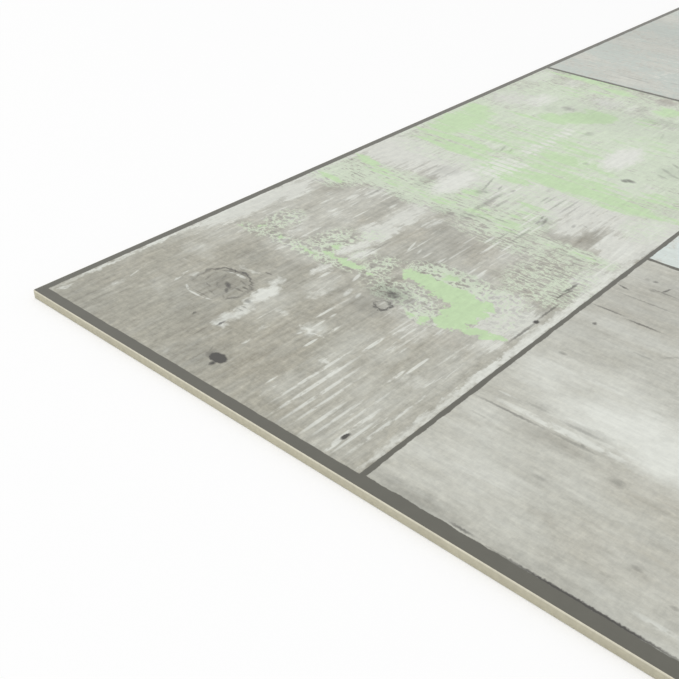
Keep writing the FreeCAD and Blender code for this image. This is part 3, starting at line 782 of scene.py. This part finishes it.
def patch_field(tree, place, rows):
    """Height of the patches: the strength at a patch's middle, falling to 0 at its rim.

    Three patches of one turn are worked out at a time, one in each component of a vector.
    """
    by_turn = {}
    for row in rows:
        by_turn.setdefault(row[5] if len(row) > 5 else 0, []).append(row)
    field = (0.0, 0.0, 0.0)
    for turn in sorted(by_turn):
        same = by_turn[turn]
        cosine = math.cos(math.radians(turn))
        sine = math.sin(math.radians(turn))
        x = add(tree, VECTOR, {0: place, 1: (cosine, sine, 0.0)}, out="Value", operation="DOT_PRODUCT")
        y = add(tree, VECTOR, {0: place, 1: (-sine, cosine, 0.0)}, out="Value", operation="DOT_PRODUCT")
        all_x = add(tree, "ShaderNodeCombineXYZ", {0: x, 1: x, 2: x})
        all_y = add(tree, "ShaderNodeCombineXYZ", {0: y, 1: y, 2: y})
        for start in range(0, len(same), 3):
            three = same[start:start + 3]
            # What is missing from the last three is filled up with patches of no strength
            three += [(0, 0, 1, 1, 0)] * (3 - len(three))
            middles = [(u * cosine + v * sine, v * cosine - u * sine) for u, v, *_ in three]
            scale_x = [1.0 / row[2] for row in three]
            scale_y = [1.0 / row[3] for row in three]
            shift_x = [-middle[0] * scale for middle, scale in zip(middles, scale_x)]
            shift_y = [-middle[1] * scale for middle, scale in zip(middles, scale_y)]
            strengths = [row[4] for row in three]
            lower = [-strength for strength in strengths]
            local_x = add(tree, VECTOR, {0: all_x, 1: scale_x, 2: shift_x}, operation="MULTIPLY_ADD")
            local_y = add(tree, VECTOR, {0: all_y, 1: scale_y, 2: shift_y}, operation="MULTIPLY_ADD")
            square_x = add(tree, VECTOR, {0: local_x, 1: local_x}, operation="MULTIPLY")
            squares = add(tree, VECTOR, {0: local_y, 1: local_y, 2: square_x}, operation="MULTIPLY_ADD")
            heights = add(tree, VECTOR, {0: squares, 1: lower, 2: strengths}, operation="MULTIPLY_ADD")
            field = add(tree, VECTOR, {0: heights, 1: field}, operation="MAXIMUM")
    parts = add(tree, "ShaderNodeSeparateXYZ", {0: field}).node.outputs
    highest = add(tree, MATH, {0: parts[0], 1: parts[1]}, operation="MAXIMUM")
    return add(tree, MATH, {0: highest, 1: parts[2]}, operation="MAXIMUM")


def stroke_rows(strokes):
    """Strokes as long thin patches. Their turns are rounded, so that many of them share one."""
    round_to = 15
    # Half width of a stroke's patch, which fades to its rim, as a share of the stroke's width
    half_width = 0.65
    rows = []
    for from_u, from_v, to_u, to_v, width, strength in strokes:
        length = math.hypot(to_u - from_u, to_v - from_v)
        turn = round_to * round(math.degrees(math.atan2(to_v - from_v, to_u - from_u)) / round_to)
        # A stroke and the same one turned half round are alike
        turn = (turn + 90) % 180 - 90
        middle_u = (from_u + to_u) / 2.0
        middle_v = (from_v + to_v) / 2.0
        rows.append((middle_u, middle_v, (length + width) / 2.0, half_width * width, strength, turn))
    return tuple(rows)


def ring_field(tree, place, ring):
    """Height of a knot's rim line: its strength on the side that the ring leans to, 0 beside the line."""
    u, v, half_u, half_v, line_width, strength, lean_u, lean_v = ring
    local = add(tree, VECTOR, {
        0: place, 1: (1.0 / half_u, 1.0 / half_v, 0.0), 2: (-u / half_u, -v / half_v, 0.0)},
        operation="MULTIPLY_ADD")
    distance = add(tree, VECTOR, {0: local}, out="Value", operation="LENGTH")
    off_line = add(tree, MATH, {0: distance, 1: 1.0}, operation="SUBTRACT")
    off_size = add(tree, MATH, {0: off_line}, operation="ABSOLUTE")
    line = add(tree, MATH, {0: off_size, 1: -2.0 * half_u / line_width, 2: 1.0}, operation="MULTIPLY_ADD")
    side = add(tree, VECTOR, {0: local, 1: (lean_u, lean_v, 0.0)}, out="Value", operation="DOT_PRODUCT")
    on_side = 0.7 * strength
    all_round = 0.3 * strength
    leaning = add(tree, MATH, {0: side, 1: on_side, 2: all_round}, operation="MULTIPLY_ADD")
    weight = add(tree, MATH, {0: leaning, 1: 0.0}, operation="MAXIMUM")
    return add(tree, MATH, {0: line, 1: weight}, operation="MULTIPLY")


class PrintPlaces:
    """Where a point of the print lies, and the noises of the wood, as the print's layers read them."""

    def __init__(self, tree, sizes):
        half = sizes.side / 2.0 / MM
        spot = add(tree, "ShaderNodeTexCoord", out="Object")
        # Millimetres from the near left corner
        self.place = add(tree, MAPPING, {
            "Vector": spot, "Location": (half, half, 0.0), "Scale": (1.0 / MM, 1.0 / MM, 0.0)})
        # Along and across the board's grain
        self.grain = add(tree, "ShaderNodeUVMap", uv_map="grain")
        # The same place, wandering a little so that rims come out ragged
        self.ragged = self.wandering(tree, scale=0.6, reach=2.4)
        self.uneven = self.wandering(tree, scale=1.8, reach=0.5)
        self.blotches = drawn_noise(tree, self.grain, "blotches")
        self.lines = drawn_noise(tree, self.grain, "grain lines")
        self.saw = drawn_noise(tree, self.grain, "saw marks")

    def wandering(self, tree, scale, reach):
        """The place moved about by noise of this scale, by up to half of the reach."""
        wander = add(tree, NOISE, {"Vector": self.place, "Scale": scale, "Detail": 4.0, "Roughness": 0.6},
                     out="Color", noise_dimensions="2D")
        centred = add(tree, VECTOR, {0: wander, 1: (0.5, 0.5, 0.5)}, operation="SUBTRACT")
        return add(tree, VECTOR, {0: centred, 1: (reach, reach, 0.0), 2: self.place},
                   operation="MULTIPLY_ADD")


def wood_layer(tree, places, board, colours):
    """Weathered wood: grey and brown clouds, soft blotches, faint grain lines and fine saw marks."""
    brown_share = 0.2
    brown = noise_sum(tree, brown_share, (drawn_noise(tree, places.grain, "tint"), 1.0))
    if "brown" in board.marks:
        browner = patch_field(tree, places.ragged, board.marks["brown"])
        brown = add(tree, MATH, {0: browner, 1: brown}, operation="ADD", use_clamp=True)
    wood = add(tree, MIX, {0: brown, 6: tuple(colours.wood_grey), 7: tuple(colours.wood_brown)},
               **IN_COLOUR)
    tone = noise_sum(tree, 1.0, (places.blotches, 0.8 * board.relief), (places.lines, 0.28 * board.relief),
                     (places.saw, 0.34 * board.relief))
    return add(tree, VECTOR, {0: wood, "Scale": tone}, operation="SCALE")


def wash_layer(tree, places, board, colours, under):
    """Whitewash rubbed to a thin uneven veil, with streaks along the grain."""
    smears = drawn_noise(tree, places.grain, "smears")
    streaks = drawn_noise(tree, places.grain, "streaks")
    coat = noise_sum(tree, board.wash, (smears, board.smear), (streaks, board.streak))
    if "veil" in board.marks:
        veil = patch_field(tree, places.ragged, board.marks["veil"])
        veil_cover = 0.65
        coat = add(tree, MATH, {0: veil, 1: veil_cover, 2: coat}, operation="MULTIPLY_ADD")
        # Where the veil lies, whitewash stays whole in the grain's furrows
        furrow_cover = 0.8
        furrows = noise_sum(tree, 0.0, (drawn_noise(tree, places.grain, "furrows"), board.furrow))
        raised = add(tree, MATH, {0: veil, 1: furrows}, operation="ADD")
        filled = add(tree, RANGE, {0: raised, 1: 0.45, 2: 0.75, 4: furrow_cover})
        coat = add(tree, MATH, {0: coat, 1: gated(tree, filled, veil, 8.0)}, operation="MAXIMUM")
    coat = add(tree, MATH, {0: coat, 1: 1.0}, operation="MINIMUM")
    coat = add(tree, MATH, {0: coat, 1: 0.0}, operation="MAXIMUM")
    return add(tree, MIX, {0: coat, 6: under, 7: tuple(colours.wash)}, **IN_COLOUR)


def white_layer(tree, places, board, colours, under):
    """Whitewash left whole: patches with ragged rims, and single strokes that break up into dashes."""
    strokes = patch_field(tree, places.place, stroke_rows(board.marks["white strokes"]))
    dashes = drawn_noise(tree, places.grain, "dashes")
    stroke_cover = 0.78
    drawn = add(tree, RANGE, {0: strokes, 1: 0.0, 2: 0.55, 4: stroke_cover})
    kept = add(tree, RANGE, {0: dashes, 1: 0.34, 2: 0.48})
    coat = add(tree, MATH, {0: drawn, 1: kept}, operation="MULTIPLY")
    if "white" in board.marks:
        rough = drawn_noise(tree, places.grain, "rough rims")
        patches = patch_field(tree, places.ragged, board.marks["white"])
        rim_depth = 1.6
        patch_cover = 0.95
        raised = add(tree, MATH, {0: patches, 1: noise_sum(tree, 0.0, (rough, rim_depth))}, operation="ADD")
        whole = add(tree, RANGE, {0: raised, 1: 0.0, 2: 0.95, 4: patch_cover})
        coat = add(tree, MATH, {0: coat, 1: gated(tree, whole, patches, 4.0)}, operation="MAXIMUM")
    return add(tree, MIX, {0: coat, 6: under, 7: tuple(colours.wash)}, **IN_COLOUR)


def placed_paint(tree, places, marks):
    """Heights of the placed paint: the whole less what is bare, and the thin less what is worn off."""
    # How much height a bare or worn patch takes from the paint under it
    loss = 0.8
    green = patch_field(tree, places.ragged, marks["green"])
    bare = patch_field(tree, places.ragged, marks["bare"])
    whole = add(tree, MATH, {0: bare, 1: -loss, 2: green}, operation="MULTIPLY_ADD")
    whole = add(tree, MATH, {0: whole, 1: 0.0}, operation="MAXIMUM")
    thin = patch_field(tree, places.ragged, marks["thin"])
    thin = add(tree, MATH, {0: thin, 1: 1.0}, operation="MINIMUM")
    worn = patch_field(tree, places.ragged, marks["worn"])
    thin = add(tree, MATH, {0: worn, 1: -loss, 2: thin}, operation="MULTIPLY_ADD")
    return whole, add(tree, MATH, {0: thin, 1: 0.0}, operation="MAXIMUM")


def paint_layer(tree, places, board, under):
    """Flaked paint: solid inside its patches, with a net of pale veins left round them."""
    cells = drawn_noise(tree, places.uneven, "cells")
    flakes = drawn_noise(tree, places.uneven, "flakes")
    # How sharp the solid paint's rims are, how much of the net is haze, and the shade in the net's gaps
    sharpness = 6.0
    haze = 0.5
    gap_shade = -0.1
    if "green" in board.marks:
        height_up = add(tree, "ShaderNodeSeparateXYZ", {0: places.uneven}, out=1)
        sawn = add(tree, RANGE, {0: height_up, 1: SAWN[0], 2: SAWN[1]})
        rungs = drawn_noise(tree, places.uneven, "rungs")
        bands = drawn_noise(tree, places.uneven, "bands")
        cells = add(tree, MIX, {0: sawn, 2: cells, 3: rungs})
        flakes = add(tree, MIX, {0: sawn, 2: flakes, 3: bands})
        sharpness = add(tree, RANGE, {0: height_up, 1: SOFTER[0], 2: SOFTER[1], 3: 6.0, 4: 2.9})
        haze = add(tree, RANGE, {0: height_up, 1: HAZY[0], 2: HAZY[1]})
        gap_shade = add(tree, RANGE, {0: height_up, 1: HAZY[0], 2: HAZY[1], 3: -0.24, 4: -0.06})
        whole, thin = placed_paint(tree, places, board.marks)
    else:
        spread = noise_sum(tree, board.paint_left, (drawn_noise(tree, places.grain, "paint spread"), 1.6))
        whole = add(tree, MATH, {0: spread, 1: 0.0}, operation="MAXIMUM")
        thin = whole
    # Veins lie where the noise is near its middle, and widen as the paint gets denser
    vein_slope = 30.0
    vein_width = 6.0
    off_vein = add(tree, MATH, {0: noise_sum(tree, 0.0, (cells, vein_slope))}, operation="ABSOLUTE")
    left = add(tree, MATH, {0: thin, 1: vein_width}, operation="MULTIPLY")
    crisp = add(tree, MATH, {0: left, 1: off_vein}, operation="SUBTRACT", use_clamp=True)
    # Haze covers the ground between the veins too, more of it where the paint is denser
    haze_gain = 1.15
    haze_least = 0.4
    haze_slope = -0.2
    cover = add(tree, MATH, {0: thin, 1: haze_gain, 2: haze_least}, operation="MULTIPLY_ADD")
    soft = add(tree, MATH, {0: off_vein, 1: haze_slope, 2: cover}, operation="MULTIPLY_ADD", use_clamp=True)
    veins = add(tree, MIX, {0: haze, 2: crisp, 3: soft})
    between = add(tree, RANGE, {0: off_vein, 1: 2.0, 2: 5.0})
    gaps = gated(tree, between, thin, 4.0)
    dimmed = add(tree, MATH, {0: gaps, 1: gap_shade, 2: 1.0}, operation="MULTIPLY_ADD")
    worn = add(tree, VECTOR, {0: under, "Scale": dimmed}, operation="SCALE")
    net_cover = 0.9
    net = add(tree, MATH, {0: gated(tree, veins, thin, 6.0), 1: net_cover}, operation="MULTIPLY")
    netted = add(tree, MIX, {0: net, 6: worn, 7: board.rim}, **IN_COLOUR)
    # Paint is left whole where its height, roughened by the flakes, is above this
    flake_rim = 0.43
    flake_depth = 1.7
    roughness = noise_sum(tree, -flake_rim, (flakes, flake_depth))
    raised = add(tree, MATH, {0: whole, 1: roughness}, operation="ADD")
    solid = add(tree, MATH, {0: raised, 1: sharpness, 2: 0.5}, operation="MULTIPLY_ADD", use_clamp=True)
    painted = gated(tree, solid, whole, 5.0)
    return add(tree, MIX, {0: painted, 6: netted, 7: board.paint}, **IN_COLOUR)


def dark_layer(tree, places, board, colours, under):
    """Stains, nail holes, cracks and the lines of the knots."""
    stains = patch_field(tree, places.ragged, board.marks["shade"])
    stain_depth = 0.28
    lit = add(tree, MATH, {0: stains, 1: -stain_depth, 2: 1.0}, operation="MULTIPLY_ADD")
    shaded = add(tree, VECTOR, {0: under, "Scale": lit}, operation="SCALE")
    marks = patch_field(tree, places.uneven, board.marks["dark"] + stroke_rows(board.marks["dark strokes"]))
    for ring in board.marks.get("rings", ()):
        rim = ring_field(tree, places.ragged, ring)
        marks = add(tree, MATH, {0: marks, 1: rim}, operation="MAXIMUM")
    mask = add(tree, MATH, {0: marks, 1: 1.0}, operation="MULTIPLY", use_clamp=True)
    return add(tree, MIX, {0: mask, 6: shaded, 7: tuple(colours.hole)}, **IN_COLOUR)


def joint_layer(tree, places, board, colours, under):
    """Dark joints and border: all that lies outside the boards' own rectangles, with frayed rims."""
    low_gap = add(tree, "ShaderNodeUVMap", uv_map="gap_low")
    high_gap = add(tree, "ShaderNodeUVMap", uv_map="gap_high")
    nearest = add(tree, VECTOR, {0: low_gap, 1: high_gap}, operation="MINIMUM")
    parts = add(tree, "ShaderNodeSeparateXYZ", {0: nearest}).node.outputs
    inside = add(tree, MATH, {0: parts[0], 1: parts[1]}, operation="MINIMUM")
    fray = drawn_noise(tree, places.place, "fray")
    frayed = add(tree, MATH, {0: noise_sum(tree, 0.0, (fray, board.fray)), 1: inside}, operation="ADD")
    # The ink's rim is soft over a tenth of a millimetre, this much on each side
    soft = 0.05
    board_mask = add(tree, RANGE, {0: frayed, 1: -soft, 2: soft})
    ink_tone = noise_sum(tree, 1.0, (fray, 0.2))
    ink = add(tree, VECTOR, {0: tuple(colours.ink)[:3], "Scale": ink_tone}, operation="SCALE")
    return add(tree, MIX, {0: board_mask, 6: ink, 7: under}, **IN_COLOUR)


def vinyl_surface(tree, colour, roughness, relief, strength, depth):
    """Plain vinyl of this colour and roughness, with relief this deep in its surface."""
    bump = add(tree, "ShaderNodeBump", {"Strength": strength, "Distance": depth, "Height": relief})
    shader = add(tree, "ShaderNodeBsdfPrincipled", {
        "Base Color": colour, "Roughness": roughness, "IOR": 1.5, "Normal": bump})
    add(tree, "ShaderNodeOutputMaterial", {"Surface": shader})


def printed_film(board, sizes, colours):
    """Calendered vinyl wearing film over a printed layer.

    The print shows weathered boards with worn whitewash and flaked paint, under a clear satin
    film that gives soft white reflections at low angles.
    """
    material, tree = new_material("printed vinyl film, " + board.name)
    places = PrintPlaces(tree, sizes)
    decor = wood_layer(tree, places, board, colours)
    decor = wash_layer(tree, places, board, colours, decor)
    decor = paint_layer(tree, places, board, decor)
    if "white strokes" in board.marks:
        decor = white_layer(tree, places, board, colours, decor)
    # The grain shows faintly through the wash and the paint too
    texture = noise_sum(tree, 1.0, (places.blotches, 0.3), (places.lines, 0.2), (places.saw, 0.12))
    decor = add(tree, VECTOR, {0: decor, "Scale": texture}, operation="SCALE")
    if "dark" in board.marks:
        decor = dark_layer(tree, places, board, colours, decor)
    decor = joint_layer(tree, places, board, colours, decor)
    # The film's fine embossing follows the grain
    vinyl_surface(tree, decor, roughness=0.42, relief=places.lines, strength=0.12, depth=0.05 * MM)
    return material


def cut_vinyl(sizes, colours):
    """Chalk-filled vinyl cut by a die: a matt beige wall, with a paler line on top that is the clear film
    together with a painted highlight where the rolled top edge catches light.

    Its grains of chalk are too fine to show, and are drawn about 1 mm wide.
    """
    material, tree = new_material("filled vinyl, die-cut edge")
    spot = add(tree, "ShaderNodeTexCoord", out="Object")
    height = add(tree, "ShaderNodeSeparateXYZ", {0: spot}, out=2)
    chalk = add(tree, NOISE, {"Vector": spot, "Scale": 1.2 / MM, "Detail": 3.0})
    cloud = add(tree, NOISE, {"Vector": spot, "Scale": 0.16 / MM, "Detail": 2.0})
    # The top of the wall is painted paler: the clear film's line and a painted highlight of the rolled top
    # edge
    film_and_highlight_from = sizes.thickness - 1.8 * sizes.face_roll
    blend = 0.05 * MM
    film_and_highlight_mask = add(tree, RANGE, {0: height, 1: film_and_highlight_from, 2: film_and_highlight_from + blend})
    body = add(tree, MIX, {0: film_and_highlight_mask, 6: tuple(colours.edge), 7: tuple(colours.pale_vinyl_and_highlight)}, **IN_COLOUR)
    grit = add(tree, RANGE, {0: chalk, 1: 0.3, 2: 0.7, 3: 0.94, 4: 1.06})
    patch = add(tree, RANGE, {0: cloud, 1: 0.3, 2: 0.7, 3: 0.96, 4: 1.04})
    both = add(tree, MATH, {0: grit, 1: patch}, operation="MULTIPLY")
    colour = add(tree, VECTOR, {0: body, "Scale": both}, operation="SCALE")
    vinyl_surface(tree, colour, roughness=0.7, relief=chalk, strength=0.3, depth=0.04 * MM)
    return material


def back_vinyl(colours):
    """Chalk-filled vinyl from the calender: matt beige with a fine pressed grain and pale filler specks.

    The grain and the specks are too fine to show, and are drawn about 1 mm wide.
    """
    material, tree = new_material("filled vinyl, calendered back")
    spot = add(tree, "ShaderNodeTexCoord", out="Object")
    grain = add(tree, NOISE, {"Vector": spot, "Scale": 0.9 / MM, "Detail": 4.0})
    cloud = add(tree, NOISE, {"Vector": spot, "Scale": 0.04 / MM, "Detail": 3.0})
    specks = add(tree, "ShaderNodeTexVoronoi", {"Vector": spot, "Scale": 0.7 / MM})
    speck_mask = add(tree, RANGE, {0: specks, 1: 0.0, 2: 0.18, 3: 0.25, 4: 0.0})
    body = add(tree, MIX, {0: speck_mask, 6: tuple(colours.back), 7: tuple(colours.pale_vinyl_and_highlight)}, **IN_COLOUR)
    patch = add(tree, RANGE, {0: cloud, 1: 0.3, 2: 0.7, 3: 0.96, 4: 1.04})
    colour = add(tree, VECTOR, {0: body, "Scale": patch}, operation="SCALE")
    vinyl_surface(tree, colour, roughness=0.75, relief=grain, strength=0.25, depth=0.05 * MM)
    return material


# The stage

def seen_straight(tree):
    """1 for what the camera sees, also in a reflection, and 0 for the light that falls on the tile."""
    paths = tree.nodes.new("ShaderNodeLightPath")
    return add(tree, MATH, {
        0: paths.outputs["Is Camera Ray"], 1: paths.outputs["Is Glossy Ray"]}, operation="MAXIMUM")


def white_floor():
    """Matt white studio paper. It looks white to the camera and in reflections, and keeps the shadow."""
    material, tree = new_material("studio paper, matt white")
    added_white = 0.25
    lift = add(tree, MATH, {0: seen_straight(tree), 1: added_white}, operation="MULTIPLY")
    paper = add(tree, "ShaderNodeBsdfDiffuse", {"Color": linear("#e6e6e6")})
    glow = add(tree, "ShaderNodeEmission", {"Color": (1.0, 1.0, 1.0, 1.0), "Strength": lift})
    both = add(tree, "ShaderNodeAddShader", {0: paper, 1: glow})
    add(tree, "ShaderNodeOutputMaterial", {"Surface": both})
    return material


def studio_world():
    """Even white light from all round, seen as white by the camera and in reflections."""
    world = bpy.data.worlds.new("studio")
    world.use_nodes = True
    tree = world.node_tree
    tree.nodes.clear()
    falling = 0.7
    seen = 1.0
    strength = add(tree, RANGE, {0: seen_straight(tree), 3: falling, 4: seen})
    light = add(tree, "ShaderNodeBackground", {"Color": (1.0, 1.0, 1.0, 1.0), "Strength": strength})
    add(tree, "ShaderNodeOutputWorld", {"Surface": light})
    bpy.context.scene.world = world


def build_floor():
    """A level floor just under the tile."""
    half = 2.0
    below = 0.02 * MM
    signs = ((-1, -1), (1, -1), (1, 1), (-1, 1))
    mesh = bpy.data.meshes.new("studio_floor")
    corners = [(x * half, y * half, -below) for x, y in signs]
    mesh.from_pydata(corners, [], [(0, 1, 2, 3)])
    mesh.materials.append(white_floor())
    floor = bpy.data.objects.new("studio_floor", mesh)
    bpy.context.scene.collection.objects.link(floor)


def build_light():
    """One broad lamp above the near edge, soft enough to leave no hard shadow."""
    lamp = bpy.data.lights.new("soft_box", "AREA")
    lamp.shape = "RECTANGLE"
    lamp.size = 1.6
    lamp.size_y = 1.6
    lamp.energy = 9.0
    holder = bpy.data.objects.new("soft_box", lamp)
    holder.location = (-0.4, -0.6, 1.6)
    aim = Vector((0.0, 0.0, 0.0)) - holder.location
    holder.rotation_euler = aim.to_track_quat("-Z", "Y").to_euler()
    bpy.context.scene.collection.objects.link(holder)


def build_camera():
    """The photograph's view: low over the near left corner."""
    camera = bpy.data.cameras.new("camera")
    camera.sensor_width = 36.0
    camera.lens = 51.16
    camera.clip_start = 0.01
    place = Vector((-28.19, -218.93, 80.83)) * MM
    heading = math.radians(41.468)
    pitch = math.radians(33.764)
    roll = math.radians(0.552)
    turn = (Matrix.Rotation(heading, 4, "Z")
            @ Matrix.Rotation(math.pi / 2.0 - pitch, 4, "X")
            @ Matrix.Rotation(roll, 4, "Z"))
    holder = bpy.data.objects.new("camera", camera)
    holder.matrix_world = Matrix.Translation(place) @ turn
    bpy.context.scene.collection.objects.link(holder)
    bpy.context.scene.camera = holder


class VINYL_OT_tile(bpy.types.Operator):
    """Build the printed, die-cut tile"""

    bl_idname = "vinyl.tile"
    bl_label = "Tile"

    def execute(self, context):
        sizes = context.scene.vinyl_sizes
        colours = context.scene.vinyl_colours
        rows = boards(sizes, colours)
        films = [printed_film(board, sizes, colours) for board in rows]
        face = face_mesh(sizes, rows)
        tile = solid_tile(face, sizes, films, cut_vinyl(sizes, colours), back_vinyl(colours))
        if not tile.data.polygons:
            raise RuntimeError("the tile came out with no faces")
        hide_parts("vinyl_tile")
        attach(tile, "root")
        return {"FINISHED"}


class VINYL_OT_stage(bpy.types.Operator):
    """Build the white floor, the light and the camera"""

    bl_idname = "vinyl.stage"
    bl_label = "Stage"

    def execute(self, context):
        build_floor()
        build_light()
        studio_world()
        build_camera()
        context.scene.view_settings.view_transform = "Standard"
        return {"FINISHED"}


class VIEW3D_PT_vinyl_tile(bpy.types.Panel):
    """The tile's sizes, colours and operators"""

    bl_label = "Vinyl Floor Tile"
    bl_space_type = "VIEW_3D"
    bl_region_type = "UI"
    bl_category = "Tile"

    def draw(self, context):
        layout = self.layout
        for group in (context.scene.vinyl_sizes, context.scene.vinyl_colours):
            box = layout.box()
            for name in group.__annotations__:
                box.prop(group, name)
        layout.operator(VINYL_OT_tile.bl_idname)
        layout.operator(VINYL_OT_stage.bl_idname)


CLASSES = (TileSizes, TileColours, VINYL_OT_tile, VINYL_OT_stage, VIEW3D_PT_vinyl_tile)


def register():
    """Registers the classes and hangs the settings on the scene."""
    for kind in CLASSES:
        bpy.utils.register_class(kind)
    bpy.types.Scene.vinyl_sizes = bpy.props.PointerProperty(type=TileSizes)
    bpy.types.Scene.vinyl_colours = bpy.props.PointerProperty(type=TileColours)


def unregister():
    """Takes the settings and the classes away again."""
    del bpy.types.Scene.vinyl_colours
    del bpy.types.Scene.vinyl_sizes
    for kind in reversed(CLASSES):
        bpy.utils.unregister_class(kind)


def main():
    """Builds the tile and its stage."""
    register()
    bpy.ops.vinyl.tile()
    bpy.ops.vinyl.stage()


if __name__ == "__main__":
    main()
